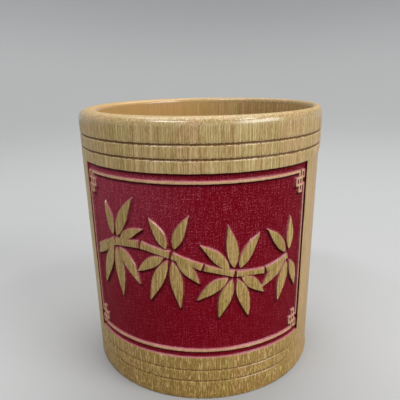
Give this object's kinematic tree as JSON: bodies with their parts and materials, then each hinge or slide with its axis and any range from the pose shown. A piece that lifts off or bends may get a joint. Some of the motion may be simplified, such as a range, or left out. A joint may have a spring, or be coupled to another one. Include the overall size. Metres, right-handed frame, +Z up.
{
  "type": "brush pot",
  "caption": "Round bamboo brush pot with a rounded rim, turned grooves and a carved front panel with a red lacquered ground.",
  "frame": {"origin": "centre of the foot, on the surface the pot stands on", "axes": "+Z up along the pot's axis; the carved panel faces -Y"},
  "size_m": [0.0998, 0.0998, 0.1075],
  "materials": {
    "bamboo": "clear gloss lacquer",
    "bamboo_board": "sanded",
    "red_lacquer": "satin red lacquer"
  },
  "bodies": {
    "root": {"culm_wall": "bamboo", "base_disc": "bamboo_board", "red_lacquer_field": "red_lacquer", "red_lacquer_margin": "red_lacquer"}
  },
  "joints": []
}
